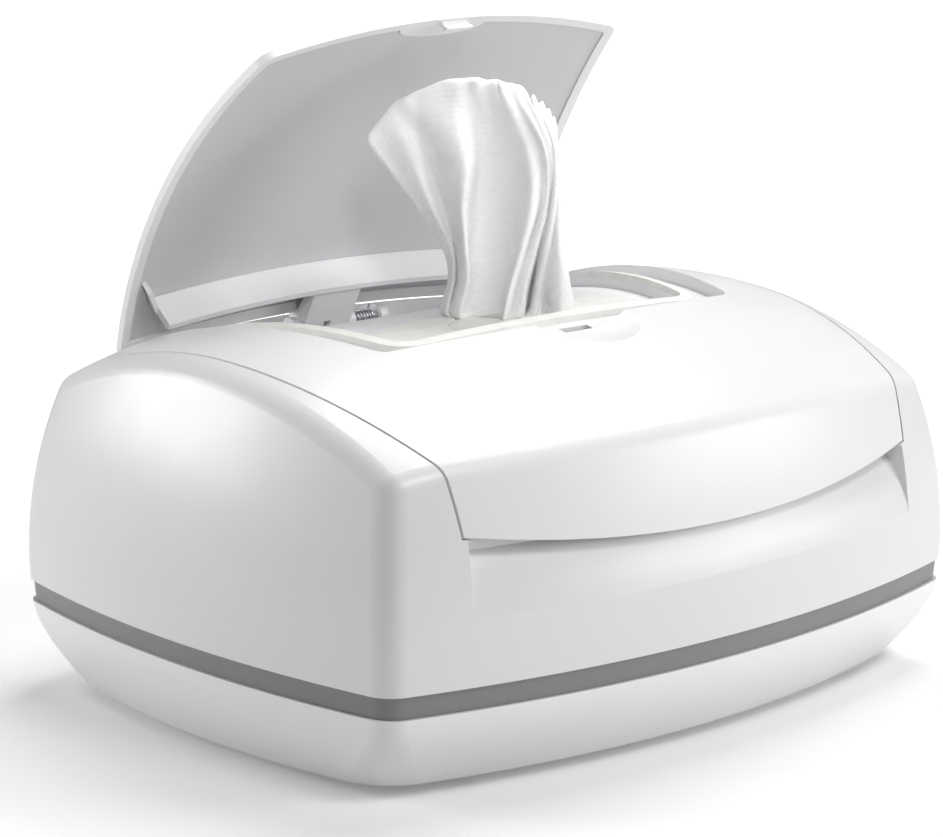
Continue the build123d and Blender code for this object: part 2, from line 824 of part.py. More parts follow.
def small_screws(places, seat, length, head_up):
    """Small cross head screws seated at one height, their heads above or below it."""
    side = 1 if head_up else -1
    with BuildPart() as screws:
        with BuildSketch(Plane.XY.offset(seat)):
            with Locations(*places):
                Circle(small_head_radius)
        extrude(amount=side * small_head_height)
        with BuildSketch(Plane.XY.offset(seat)):
            with Locations(*places):
                Circle(small_screw_radius)
        extrude(amount=-side * length)
        with Locations(*[(x, y, seat + side * small_head_height) for x, y in places]):
            Box(2 * small_screw_radius, 0.6, 1.6, mode=Mode.SUBTRACT)
            Box(0.6, 2 * small_screw_radius, 1.6, mode=Mode.SUBTRACT)
    return screws.part


with BuildPart() as board_screws:
    add(small_screws(board_post_places, board_top, board_top - floor_top - 1, True))
board_screws.part.label = "board_screws"
export_step(board_screws.part, "parts/board_screws.step")

# DC inlet in the rear wall
jack_draw = ((band_bottom - jack_z) / (band_bottom - base_bottom)) ** base_draw_power
jack_wall_half_x = corner_x - base_edge_inset - base_side_inset * jack_draw
jack_wall_half_y = corner_y - base_edge_inset - base_front_inset * jack_draw
jack_face_y = jack_wall_half_y + front_bulge * (1 - (jack_x / jack_wall_half_x) ** 2)
jack_body_front = jack_face_y - 2.6 * wall
jack_body_back = jack_body_front - jack_bore_depth
jack_body_half = jack_collar_radius + 0.5

with BuildPart() as dc_jack:
    with BuildSketch(Plane.XZ.offset(-jack_body_back)):
        with Locations((jack_x, jack_z)):
            Rectangle(2 * jack_body_half, 2 * jack_body_half)
    extrude(amount=jack_body_back - jack_body_front)
    with BuildSketch(Plane.XZ.offset(-jack_body_front)):
        with Locations((jack_x, jack_z)):
            Circle(jack_collar_radius)
    extrude(amount=jack_body_front - jack_face_y)
    fillet(dc_jack.faces().sort_by(Axis.Y)[-1].edges(), 0.4)
    with BuildSketch(Plane.XZ.offset(-jack_face_y)):
        with Locations((jack_x, jack_z)):
            Circle(jack_bore_radius)
            Circle(jack_pin_radius, mode=Mode.SUBTRACT)
    extrude(amount=jack_bore_depth, mode=Mode.SUBTRACT)
    with BuildSketch(Plane.XZ.offset(-jack_face_y)):
        with Locations((jack_x, jack_z)):
            Circle(jack_bore_radius)
    extrude(amount=1.5, mode=Mode.SUBTRACT)
dc_jack.part.label = "dc_jack"
export_step(dc_jack.part, "parts/dc_jack.step")

# Leads from the inlet to the board and from the board to the heater film
wire_z = board_top + connector_height / 2
jack_wires = [
    [
        (jack_x + side * 2 * wire_radius, jack_body_back, wire_z + side * 1.5 * wire_radius),
        (jack_x + side * 2 * wire_radius, jack_body_back - 22, wire_z + side * 1.5 * wire_radius),
        (jack_plug_x + side * 1.5 * wire_radius, jack_body_back - 22, wire_z + side * 1.5 * wire_radius),
        (jack_plug_x + side * 1.5 * wire_radius, connector_y, wire_z + side * 1.5 * wire_radius),
    ]
    for side in (-1, 1)
]
film_wires = [
    [
        (film_tab_x + side * 4, film_tab_end, film_bottom - wire_radius),
        (film_tab_x + side * 4, film_tab_end + 5, film_bottom - wire_radius),
        (film_tab_x + side * 2, connector_y - 7, wire_z),
        (film_tab_x + side * 2, connector_y, wire_z),
    ]
    for side in (-1, 1)
]


def tube(points, bend_radius):
    """A round wire through points, its corners rounded."""
    with BuildPart() as wire_part:
        with BuildLine() as route:
            FilletPolyline(*points, radius=bend_radius)
        with BuildSketch(Plane(points[0], z_dir=route.line % 0)):
            Circle(wire_radius)
        sweep(path=route.line)
    return wire_part.part


with BuildPart() as lead_wires:
    for points in jack_wires:
        add(tube(points, 7.0))
    for points in film_wires:
        add(tube(points, 5.0))
lead_wires.part.label = "lead_wires"
export_step(lead_wires.part, "parts/lead_wires.step")

# ---------------------------------------------------------------------------
# Main lid: arched shell with recess, trough, well, thumb scoop and hinges
# ---------------------------------------------------------------------------
flip_hinge = Axis((0, flip_axis_y, flip_axis_z), (1, 0, 0))
liner_screw_places = [
    (x, y) for x in (-liner_screw_x, liner_screw_x) for y in (liner_screw_front, liner_screw_rear)
]
liner_top = liner_height + liner_thickness
thumb_sphere = (thumb_radius ** 2 + thumb_depth ** 2) / (2 * thumb_depth)
thumb_slope = asin((arch_offset - flip_front_crest) / arch_radius)
thumb_rise = arch_radius + thumb_sphere - thumb_depth
thumb_centre = (0, arch_offset - thumb_rise * sin(thumb_slope), arch_axis_z + thumb_rise * cos(thumb_slope))
ear_starts = [knuckle_half + hinge_side_gap, outer_ear_start]


def trough_block(margin, floor):
    """The hinge trough's hollow, margin wider, from its floor upwards."""
    with BuildPart() as block:
        add(flip_prism(flip_gap + margin))
        with BuildSketch(Plane.XY.offset(floor)):
            with Locations((0, trough_front - margin)):
                Rectangle(2 * (trough_half + margin), beyond, align=(Align.CENTER, Align.MIN))
        extrude(amount=closed_height - floor, mode=Mode.INTERSECT)
    return block.part


with BuildPart() as lid_skirts:
    add(seam_prism(0))
    add(seam_prism(-skirt_wall), mode=Mode.SUBTRACT)
    add(outer_form.part, mode=Mode.INTERSECT)
    add(lid_room(0), mode=Mode.INTERSECT)

# Everything that stands inside the shell under the recess
with BuildPart() as lid_trays:
    add(flip_prism(flip_gap + trough_wall))
    add(layer(wall / 2, recess_depth + recess_floor), mode=Mode.INTERSECT)
with BuildPart() as trough_tray:
    add(trough_block(trough_wall, trough_floor - trough_wall))
    add(outer_form.part, mode=Mode.INTERSECT)
with BuildPart() as well_tray:
    add(well_prism(well_wall))
    add(arch_block(recess_depth), mode=Mode.INTERSECT)
    add(plate_block(0), mode=Mode.SUBTRACT)

# The trough's floor and its front wall, which carries the plate's rear edge
with BuildPart() as trough_lip:
    add(trough_tray.part)
    add(plate_block(plate_thickness), mode=Mode.INTERSECT)
    add(trough_block(0, trough_floor), mode=Mode.SUBTRACT)
with BuildPart() as thumb_tray:
    with Locations(thumb_centre):
        Sphere(thumb_sphere + thumb_wall)
    add(arch_block(wall / 2), mode=Mode.INTERSECT)

# What is cut away from above
with BuildPart() as recess_hollow:
    add(flip_prism(flip_gap))
    add(arch_block(recess_depth), mode=Mode.SUBTRACT)

ear_foot = trough_floor - trough_wall / 2
with BuildPart() as hinge_ears:
    for start in ear_starts:
        with BuildSketch(Plane.YZ.offset(start)):
            with Locations((flip_axis_y, flip_axis_z)):
                Circle(ear_radius)
            with Locations((flip_axis_y, (ear_foot + flip_axis_z) / 2)):
                Rectangle(2 * ear_radius, flip_axis_z - ear_foot)
            with Locations((flip_axis_y, flip_axis_z)):
                Circle(flip_pin_radius + flip_pin_fit, mode=Mode.SUBTRACT)
        extrude(amount=ear_width)
    mirror(about=Plane.YZ)

with BuildPart() as main_lid_shell:
    add(outer_form.part)
    add(inner_form.part, mode=Mode.SUBTRACT)
    add(lid_room(0), mode=Mode.INTERSECT)
    add(lid_skirts.part)
    add(lid_trays.part)
    add(thumb_tray.part)
    add(well_tray.part)
    add(trough_tray.part)
    with BuildSketch(Plane.XY.offset(liner_top)):
        with Locations(*liner_screw_places):
            Circle(liner_boss_radius)
    extrude(until=Until.NEXT)
    add(recess_hollow.part, mode=Mode.SUBTRACT)
    add(trough_block(0, trough_floor), mode=Mode.SUBTRACT)
    add(well_prism(0), mode=Mode.SUBTRACT)
    add(trough_lip.part)
    with Locations(thumb_centre):
        Sphere(thumb_sphere, mode=Mode.SUBTRACT)
    with Locations((0, hook_rear_y - hook_thickness / 2 - hook_nose / 2, closed_height)):
        hook_window = hook_thickness + hook_nose + 2 * hook_room
        Box(2 * (hook_half + hook_room), hook_window, 10 * thumb_depth, mode=Mode.SUBTRACT)
    with Locations(*[(x, y, liner_top) for x, y in liner_screw_places]):
        Cylinder(small_hole_radius, 18, mode=Mode.SUBTRACT)
    add(hinge_ears.part)
    add(main_knuckles(lid_places, lid_knuckle_width, True))
main_lid_shell.part.label = "main_lid_shell"
export_step(main_lid_shell.part, "parts/main_lid_shell.step")

with BuildPart() as rim_gasket:
    add(well_prism(gasket_width))
    add(well_prism(gasket_fit), mode=Mode.SUBTRACT)
    add(layer(recess_depth - gasket_height, recess_depth), mode=Mode.INTERSECT)
    with Locations((0, trough_front, 0)):
        Box(2 * beyond, beyond, 3 * closed_height, align=behind, mode=Mode.SUBTRACT)
rim_gasket.part.label = "rim_gasket"
export_step(rim_gasket.part, "parts/rim_gasket.step")

with BuildPart() as dispenser_plate:
    add(well_prism(plate_margin))
    add(trough_tray.part, mode=Mode.SUBTRACT)
    add(well_prism(0))
    add(plate_layer(0, plate_thickness), mode=Mode.INTERSECT)
    insert_hole_length = insert_half_length - insert_step
    insert_hole_width = insert_half_width - insert_step
    add(ellipse_prism(insert_hole_length, insert_hole_width, insert_y), mode=Mode.SUBTRACT)
dispenser_plate.part.label = "dispenser_plate"
export_step(dispenser_plate.part, "parts/dispenser_plate.step")

# Soft insert, its rim on the plate and its collar through it
with BuildPart() as orifice_insert:
    add(ellipse_prism(insert_half_length, insert_half_width, insert_y))
    add(plate_layer(-insert_thickness, 0), mode=Mode.INTERSECT)
with BuildPart() as insert_collar:
    add(ellipse_prism(insert_hole_length - insert_fit, insert_hole_width - insert_fit, insert_y))
    add(plate_layer(-insert_thickness / 2, plate_thickness), mode=Mode.INTERSECT)
with orifice_insert:
    add(insert_collar.part)
    add(ellipse_prism(orifice_half_length, orifice_half_width, insert_y), mode=Mode.SUBTRACT)
orifice_insert.part.label = "orifice_insert"
export_step(orifice_insert.part, "parts/orifice_insert.step")

# Lid liner with the ring that presses the seal on the tub
seal_bottom = flange_top + seal_gap
seal_top = seal_bottom + seal_height

with BuildPart() as main_lid_liner:
    add(body_block(wall + liner_fit, inner_levels))
    add(seam_prism(-skirt_wall - liner_fit), mode=Mode.INTERSECT)
    add(slab(liner_height, liner_top), mode=Mode.INTERSECT)
    with BuildSketch(Plane.XY.offset(seal_top)):
        ring_length = 2 * (tub_half_length + ring_reach)
        ring_width = 2 * (tub_half_width + ring_reach)
        RectangleRounded(ring_length, ring_width, tub_corner + ring_reach)
        offset(amount=-ring_wall, mode=Mode.SUBTRACT)
    extrude(amount=liner_height - seal_top)
    with BuildSketch(Plane.XY.offset(liner_height)):
        RectangleRounded(liner_opening_length, liner_opening_width, tub_corner)
    extrude(amount=liner_thickness, mode=Mode.SUBTRACT)
    with Locations(*[(x, y, liner_height) for x, y in liner_screw_places]):
        Cylinder(small_hole_radius, 4 * liner_thickness, mode=Mode.SUBTRACT)
main_lid_liner.part.label = "main_lid_liner"
export_step(main_lid_liner.part, "parts/main_lid_liner.step")

with BuildPart() as lid_seal:
    seal_spread = (seal_width - ring_wall) / 2
    with BuildSketch(Plane.XY.offset(seal_bottom)):
        seal_corner = tub_corner + ring_reach + seal_spread
        RectangleRounded(ring_length + 2 * seal_spread, ring_width + 2 * seal_spread, seal_corner)
        offset(amount=-seal_width, mode=Mode.SUBTRACT)
    extrude(amount=seal_height)
    fillet(lid_seal.faces().sort_by(Axis.Z)[0].edges(), 0.6)
lid_seal.part.label = "lid_seal"
export_step(lid_seal.part, "parts/lid_seal.step")

with BuildPart() as liner_screws:
    add(small_screws(liner_screw_places, liner_height, 8.0, False))
liner_screws.part.label = "liner_screws"
export_step(liner_screws.part, "parts/liner_screws.step")

# ---------------------------------------------------------------------------
# Flip hinge: pin and torsion spring
# ---------------------------------------------------------------------------
with BuildPart() as flip_hinge_pin:
    with BuildSketch(Plane.YZ.offset(-flip_pin_half)):
        with Locations((flip_axis_y, flip_axis_z)):
            Circle(flip_pin_radius)
    extrude(amount=2 * flip_pin_half)
    chamfer(flip_hinge_pin.faces().filter_by(Axis.X).edges(), 0.3)
flip_hinge_pin.part.label = "flip_hinge_pin"
export_step(flip_hinge_pin.part, "parts/flip_hinge_pin.step")

coil_radius = flip_pin_radius + spring_fit + spring_wire_radius
coil_start = ear_starts[0] + ear_width + 1.5


def coil_point(turn):
    """Point on the spring's centre line after a number of turns about the pin."""
    angle = 2 * pi * turn + radians(spring_first_angle)
    y = flip_axis_y + coil_radius * cos(angle)
    z = flip_axis_z + coil_radius * sin(angle)
    return Vector(coil_start + spring_pitch * turn, y, z)


def coil_heading(turn):
    """Direction of the spring's centre line there."""
    angle = 2 * pi * turn + radians(spring_first_angle)
    speed = 2 * pi * coil_radius
    return Vector(spring_pitch, -speed * sin(angle), speed * cos(angle)).normalized()


def biarc_middle(start, start_heading, end, end_heading):
    """Where two arcs meet that leave start and reach end in the given directions."""
    span = end - start
    both = start_heading + end_heading
    spread = 2 * (1 - start_heading.dot(end_heading))
    along = span.dot(both)
    reach = (sqrt(along ** 2 + spread * span.dot(span)) - along) / spread
    return (start + start_heading * reach + end - end_heading * reach) * 0.5


spring_turns = spring_quarters / 4
quarter_turns = [step / 4 for step in range(spring_quarters)]
first_leg_start = coil_point(0) - coil_heading(0) * spring_leg
with BuildPart() as flip_spring:
    with BuildLine() as coil:
        Line(first_leg_start, coil_point(0))
        for turn in quarter_turns:
            start, end = coil_point(turn), coil_point(turn + 0.25)
            middle = biarc_middle(start, coil_heading(turn), end, coil_heading(turn + 0.25))
            first_arc = TangentArc(start, middle, tangent=coil_heading(turn))
            TangentArc(middle, end, tangent=first_arc % 1)
        Line(coil_point(spring_turns), coil_point(spring_turns) + coil_heading(spring_turns) * spring_leg)
    with BuildSketch(Plane(first_leg_start, z_dir=coil_heading(0))):
        Circle(spring_wire_radius)
    sweep(path=coil.line)
flip_spring.part.label = "flip_spring"
export_step(flip_spring.part, "parts/flip_spring.step")

coil_samples = [coil_point(step / 48) for step in range(12 * spring_quarters + 1)]
coil_gap = min(
    (far - near).length
    for index, near in enumerate(coil_samples)
    for far in coil_samples[index + 24:]
) - 2 * spring_wire_radius
print("spring's least gap to itself", round(coil_gap, 3))

# ---------------------------------------------------------------------------
# Flip lid, drawn closed and then opened
# ---------------------------------------------------------------------------
flange_route = [(-rib_end[0], rib_end[1]), (-flange_half, flange_y), (flange_half, flange_y), rib_end]

with BuildPart() as flange_wall:
    with BuildSketch(Plane.XY.offset(trough_floor)):
        with BuildLine():
            Polyline(*flange_route)
        trace(line_width=flange_thickness)
    extrude(amount=closed_height)

with BuildPart() as flange_band:
    add(flange_wall.part)
    add(layer(flip_skin / 2, flange_drop), mode=Mode.INTERSECT)
    with BuildSketch(Plane.YZ.offset(-flange_half)):
        Rectangle(2 * beyond, 2 * beyond)
    extrude(amount=2 * flange_half, mode=Mode.INTERSECT)

with BuildPart() as rib_band:
    add(flange_wall.part)
    add(layer(flip_skin / 2, rib_drop), mode=Mode.INTERSECT)

with BuildPart() as hook:
    with BuildSketch(Plane.XY.offset(band_top)):
        with Locations((0, hook_rear_y)):
            Rectangle(2 * hook_half, hook_thickness, align=(Align.CENTER, Align.MAX))
    extrude(amount=closed_height)
    add(layer(flip_skin / 2, hook_drop), mode=Mode.INTERSECT)
with BuildPart() as hook_tip:
    with BuildSketch(Plane.XY.offset(band_top)):
        with Locations((0, hook_rear_y)):
            Rectangle(2 * hook_half, hook_thickness + hook_nose, align=(Align.CENTER, Align.MAX))
    extrude(amount=closed_height)
    add(layer(hook_drop - hook_nose_height, hook_drop), mode=Mode.INTERSECT)


def lens_prism(grow):
    """Upright prism over the thumb tab under the flip lid's front edge."""
    with BuildPart() as prism:
        with BuildSketch(Plane.XY.offset(band_top)):
            with Locations(lens_centre):
                Ellipse(lens_half + grow, lens_half_width + grow)
        extrude(amount=closed_height)
    return prism.part


with BuildPart() as lens_tab:
    add(lens_prism(0))
    add(flip_prism(0, flip_rear_y), mode=Mode.INTERSECT)
    add(layer(flip_skin / 2, flip_skin + lens_skin), mode=Mode.INTERSECT)

knuckle_web = [
    (flip_axis_y - flip_knuckle_radius, flip_axis_z),
    (flip_rear_y - 5.0, top_z(0, flip_rear_y - 5.0) - flip_skin),
    (flip_rear_y, top_z(0, flip_rear_y) - flip_skin / 2),
    (flip_axis_y + 2.4, flip_axis_z + 2.4),
    (flip_axis_y, flip_axis_z),
]
flange_foot = top_z(0, flange_y) - flange_drop
knuckle_arm = [
    (flange_y - flange_thickness / 2, flange_foot),
    (flip_axis_y, flip_axis_z - flip_knuckle_radius),
    (flip_axis_y, flip_axis_z + flip_knuckle_radius),
    (flange_y + flange_thickness / 2, flange_foot + arm_thickness),
    (flange_y - flange_thickness / 2, flange_foot + arm_thickness),
]

# Knuckle on an arm from the flange's foot, slotted over the pin
with BuildPart() as flip_knuckles:
    with BuildSketch(Plane.YZ.offset(-knuckle_half)):
        with BuildLine():
            Polyline(*knuckle_web, close=True)
        make_face()
        with BuildLine():
            Polyline(*knuckle_arm, close=True)
        make_face()
        with Locations((flip_axis_y, flip_axis_z)):
            Circle(flip_knuckle_radius)
    extrude(amount=2 * knuckle_half)
    add(arch_block(flip_skin / 2), mode=Mode.INTERSECT)
    with Locations((0, flip_axis_y, flip_axis_z)):
        Box(2 * knuckle_slot_half, 2.4 * flip_knuckle_radius, 3 * flip_knuckle_radius, mode=Mode.SUBTRACT)

with BuildPart() as flip_inside:
    add(flip_prism(-flip_rim, flip_rear_y - flip_rim))
    add(arch_block(flip_skin), mode=Mode.INTERSECT)

with BuildPart() as closed_shell:
    add(flip_prism(0, flip_rear_y))
    add(layer(0, flip_edge), mode=Mode.INTERSECT)
    add(flip_inside.part, mode=Mode.SUBTRACT)
    add(flange_band.part)
    add(rib_band.part)
    add(hook.part)
    add(hook_tip.part)
    add(lens_tab.part)
    add(flip_knuckles.part)
    with BuildSketch(Plane.YZ.offset(-flip_pin_half)):
        with Locations((flip_axis_y, flip_axis_z)):
            Circle(flip_pin_radius + flip_pin_fit)
    extrude(amount=2 * flip_pin_half, mode=Mode.SUBTRACT)

with BuildPart() as closed_liner:
    add(flip_prism(-flip_rim - 0.1, flip_rear_y - flip_rim - 0.1))
    add(layer(flip_skin + 0.1, flip_skin + 0.1 + liner_skin), mode=Mode.INTERSECT)
    add(lens_prism(0.2), mode=Mode.SUBTRACT)
    with BuildSketch(Plane.XY.offset(trough_floor)):
        with BuildLine():
            Polyline(*flange_route)
        trace(line_width=flange_thickness + 0.4)
        with Locations((0, flip_rear_y)):
            Rectangle(2 * knuckle_half + 1, 2 * (flip_rear_y - flange_y))
    extrude(amount=closed_height, mode=Mode.SUBTRACT)

with BuildPart() as flip_lid_shell:
    add(closed_shell.part.rotate(flip_hinge, -flip_open_angle))
flip_lid_shell.part.label = "flip_lid_shell"
export_step(flip_lid_shell.part, "parts/flip_lid_shell.step")

with BuildPart() as flip_lid_liner:
    add(closed_liner.part.rotate(flip_hinge, -flip_open_angle))
flip_lid_liner.part.label = "flip_lid_liner"
export_step(flip_lid_liner.part, "parts/flip_lid_liner.step")

# ---------------------------------------------------------------------------
# The wipe that stands out of the orifice: a folded sheet that leans and widens
# ---------------------------------------------------------------------------
plate_height = arch_axis_z + sqrt(
    (arch_radius - crown_drop(well_rear_half) - well_depth) ** 2 - (insert_y - arch_offset) ** 2
)
wipe_sections = [
    # height over the plate, shift along its width, half width, fold depth
    (-14, 0, wipe_neck_half, wipe_neck_fold),
    (3, 0, wipe_neck_half, wipe_neck_fold),
    (16, -1.7, 20, 3.5),
    (30, -6.9, 23, 4.5),
    (48, -11.6, 26, 5),
    (62, -16.5, 28, 5),
    (72, -14.5, 22, 4),
    (78, -14, 15, 3),
]
wipe_heading = (cos(radians(wipe_turn)), sin(radians(wipe_turn)), 0)
with BuildPart() as wipe:
    for rise, shift, half_width, fold in wipe_sections:
        place = Plane((0, insert_y, plate_height + rise), x_dir=wipe_heading)
        with BuildSketch(place):
            with BuildLine():
                step = half_width / wipe_folds
                for side in (-1, 1):
                    offset_y = side * wipe_thickness / 2
                    for index in range(2 * wipe_folds):
                        left = shift - half_width + index * step
                        bulge = fold if index % 2 else -fold
                        crest = (left + step / 2, offset_y + bulge)
                        ThreePointArc((left, offset_y), crest, (left + step, offset_y))
                for end in (shift - half_width, shift + half_width):
                    Line((end, -wipe_thickness / 2), (end, wipe_thickness / 2))
            make_face()
    loft()
wipe.part.label = "wipe"
export_step(wipe.part, "parts/wipe.step")
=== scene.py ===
"""Looks of the warmer for baby wipes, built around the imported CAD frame. Metres."""

import math

import bmesh
import bpy
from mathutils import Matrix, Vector


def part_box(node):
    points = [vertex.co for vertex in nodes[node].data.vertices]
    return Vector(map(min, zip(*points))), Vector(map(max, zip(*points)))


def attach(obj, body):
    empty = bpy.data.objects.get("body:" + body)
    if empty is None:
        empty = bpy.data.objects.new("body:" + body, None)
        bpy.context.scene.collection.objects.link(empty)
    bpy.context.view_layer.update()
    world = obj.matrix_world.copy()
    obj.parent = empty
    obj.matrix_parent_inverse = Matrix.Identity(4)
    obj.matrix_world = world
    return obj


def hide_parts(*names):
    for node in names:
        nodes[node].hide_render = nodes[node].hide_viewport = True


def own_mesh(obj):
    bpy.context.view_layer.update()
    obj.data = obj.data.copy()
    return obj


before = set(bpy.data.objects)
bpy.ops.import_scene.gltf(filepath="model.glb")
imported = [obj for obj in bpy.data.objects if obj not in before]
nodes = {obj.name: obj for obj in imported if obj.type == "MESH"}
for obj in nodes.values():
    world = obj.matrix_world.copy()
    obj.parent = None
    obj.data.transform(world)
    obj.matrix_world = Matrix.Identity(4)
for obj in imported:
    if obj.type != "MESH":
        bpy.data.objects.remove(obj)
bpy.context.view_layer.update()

MM = 0.001

# ---------------------------------------------------------------------------
# Camera: stands in front of the left corner and looks down on the top
# ---------------------------------------------------------------------------
camera_place = (-0.69179, -0.76752, 0.31169)
camera_turn = 0.727769          # radians to the right of straight back
camera_dip = 0.217136           # radians below the horizon
camera_lens = 126.34

camera_data = bpy.data.cameras.new("camera")
camera_data.lens = camera_lens
camera_data.sensor_width = 36
camera = bpy.data.objects.new("camera", camera_data)
camera.location = camera_place
camera.rotation_euler = (math.pi / 2 - camera_dip, 0, -camera_turn)
bpy.context.scene.collection.objects.link(camera)
bpy.context.scene.camera = camera

# ---------------------------------------------------------------------------
# Material helpers
# ---------------------------------------------------------------------------


def new_material(name):
    """A material with its nodes, its shader and its texture coordinates."""
    material = bpy.data.materials.new(name)
    material.use_nodes = True
    tree = material.node_tree
    shader = tree.nodes["Principled BSDF"]
    place = tree.nodes.new("ShaderNodeTexCoord")
    return material, tree, shader, place.outputs["Object"]


def noise(tree, vector, scale, detail=4, roughness=0.5):
    """A noise texture at a scale in features per metre."""
    texture = tree.nodes.new("ShaderNodeTexNoise")
    texture.inputs["Scale"].default_value = scale
    texture.inputs["Detail"].default_value = detail
    texture.inputs["Roughness"].default_value = roughness
    tree.links.new(vector, texture.inputs["Vector"])
    return texture.outputs["Fac"]


def ramp(tree, value, stops):
    """Colours or greys spread over a value from 0 to 1."""
    colours = tree.nodes.new("ShaderNodeValToRGB")
    elements = colours.color_ramp.elements
    while len(elements) < len(stops):
        elements.new(0.5)
    for element, (position, colour) in zip(elements, stops):
        element.position = position
        element.color = (*colour, 1) if hasattr(colour, "__len__") else (colour,) * 3 + (1,)
    tree.links.new(value, colours.inputs["Fac"])
    return colours.outputs["Color"]


def bump(tree, height, strength, distance, under=None):
    """Bump from a height, on top of another normal where one is given."""
    node = tree.nodes.new("ShaderNodeBump")
    node.inputs["Strength"].default_value = strength
    node.inputs["Distance"].default_value = distance
    tree.links.new(height, node.inputs["Height"])
    if under is not None:
        tree.links.new(under, node.inputs["Normal"])
    return node.outputs["Normal"]


def moulded(name, colour, roughness, spread=0.015, grain=0.00002, grain_scale=1800, coat=0.0):
    """Moulded plastic: slight drift of tone and gloss, and a fine moulded grain."""
    material, tree, shader, place = new_material(name)
    low = tuple(max(0, c - spread) for c in colour)
    drift = noise(tree, place, 14, 3)
    tree.links.new(ramp(tree, drift, [(0.3, low), (0.7, colour)]), shader.inputs["Base Color"])
    gloss = noise(tree, place, 60, 4)
    rough_low, rough_high = roughness - 0.03, roughness + 0.03
    tree.links.new(ramp(tree, gloss, [(0.3, rough_low), (0.7, rough_high)]), shader.inputs["Roughness"])
    fine = noise(tree, place, grain_scale, 2)
    tree.links.new(bump(tree, fine, 0.25, grain), shader.inputs["Normal"])
    shader.inputs["Coat Weight"].default_value = coat
    shader.inputs["Coat Roughness"].default_value = 0.25
    return material


def rubbery(name, colour, roughness=0.6):
    """Soft moulded silicone or rubber: matt, with a faint mottle."""
    material, tree, shader, place = new_material(name)
    dark = tuple(c * 0.93 for c in colour)
    mottle = noise(tree, place, 180, 5)
    tree.links.new(ramp(tree, mottle, [(0.35, dark), (0.65, colour)]), shader.inputs["Base Color"])
    shader.inputs["Roughness"].default_value = roughness
    shader.inputs["Specular IOR Level"].default_value = 0.35
    fine = noise(tree, place, 1500, 2)
    tree.links.new(bump(tree, fine, 0.3, 0.00003), shader.inputs["Normal"])
    return material


def metal(name, colour, roughness=0.35):
    """Plated or rolled metal with fine streaks."""
    material, tree, shader, place = new_material(name)
    shader.inputs["Metallic"].default_value = 1.0
    streaks = noise(tree, place, 900, 3)
    dark = tuple(c * 0.85 for c in colour)
    tree.links.new(ramp(tree, streaks, [(0.3, dark), (0.7, colour)]), shader.inputs["Base Color"])
    gloss = ramp(tree, streaks, [(0.2, roughness - 0.08), (0.8, roughness + 0.08)])
    tree.links.new(gloss, shader.inputs["Roughness"])
    return material


def dress(material, *names):
    """Gives CAD nodes a finish."""
    for name in names:
        mesh = nodes[name].data
        mesh.materials.clear()
        mesh.materials.append(material)


# ---------------------------------------------------------------------------
# Finishes
# ---------------------------------------------------------------------------
shell_white = moulded("shell_white", (0.80, 0.80, 0.81), 0.34, coat=0.15)
# the lids are the same white plastic as the housing; their tone was lowered so the lid does not wash out
# under the top lamp: painted shade
lid_white_painted_shade = moulded("lid_white_painted_shade", (0.83, 0.83, 0.84), 0.36, coat=0.15)
# the base is the same white plastic as the housing; its brighter tone is painted light
base_white_painted_light = moulded("base_white_painted_light", (0.89, 0.89, 0.90), 0.36, coat=0.1)
band_grey = moulded("band_grey", (0.24, 0.24, 0.245), 0.36)
# the flip lid's liner is the same white plastic as the lid; its grey tone is painted shade for the
# underside that faces away from the lamps
liner_grey = moulded("liner_grey", (0.62, 0.62, 0.635), 0.38)
cream = rubbery("cream_silicone", (0.83, 0.82, 0.785))
plate_white = moulded("plate_white", (0.88, 0.88, 0.895), 0.4)
tub_white = moulded("tub_white", (0.80, 0.80, 0.81), 0.45)
black_plastic = moulded("black_plastic", (0.02, 0.02, 0.022), 0.5, spread=0.005)
black_rubber = rubbery("black_rubber", (0.03, 0.03, 0.032), 0.75)
grey_rubber = rubbery("grey_rubber", (0.25, 0.25, 0.26), 0.75)
foam_grey = rubbery("foam_grey", (0.2, 0.205, 0.21), 0.9)
board_green = moulded("board_green", (0.03, 0.16, 0.07), 0.4)
film_amber = moulded("film_amber", (0.5, 0.22, 0.03), 0.25)
felt = rubbery("felt", (0.78, 0.78, 0.75), 0.95)
jacket_red = moulded("jacket_red", (0.4, 0.03, 0.03), 0.5)
steel = metal("plated_steel", (0.62, 0.62, 0.64))
aluminium = metal("rolled_aluminium", (0.8, 0.8, 0.82), 0.3)

dress(shell_white, "upper_housing")
dress(base_white_painted_light, "base_shell")
dress(band_grey, "trim_band")
dress(lid_white_painted_shade, "main_lid_shell", "flip_lid_shell")
dress(liner_grey, "flip_lid_liner")
dress(cream, "rim_gasket", "orifice_insert")
dress(plate_white, "dispenser_plate")
dress(tub_white, "inner_tub", "main_lid_liner")
dress(black_plastic, "dc_jack")
dress(black_rubber, "rubber_feet")
dress(grey_rubber, "lid_seal")
dress(foam_grey, "insulation_pad")
dress(board_green, "control_board")
dress(film_amber, "heater_film")
dress(jacket_red, "lead_wires")
dress(aluminium, "heater_plate")
steel_nodes = ["base_screws", "main_hinge_pins", "board_screws", "liner_screws", "flip_hinge_pin"]
dress(steel, *steel_nodes, "flip_spring", "thermostat", "thermal_fuse")

# ---------------------------------------------------------------------------
# Floor, lamps and surroundings
# ---------------------------------------------------------------------------


floor_painted_glow = 0.16      # painted glow the floor shows only the camera right under the object; it rises to full white further out
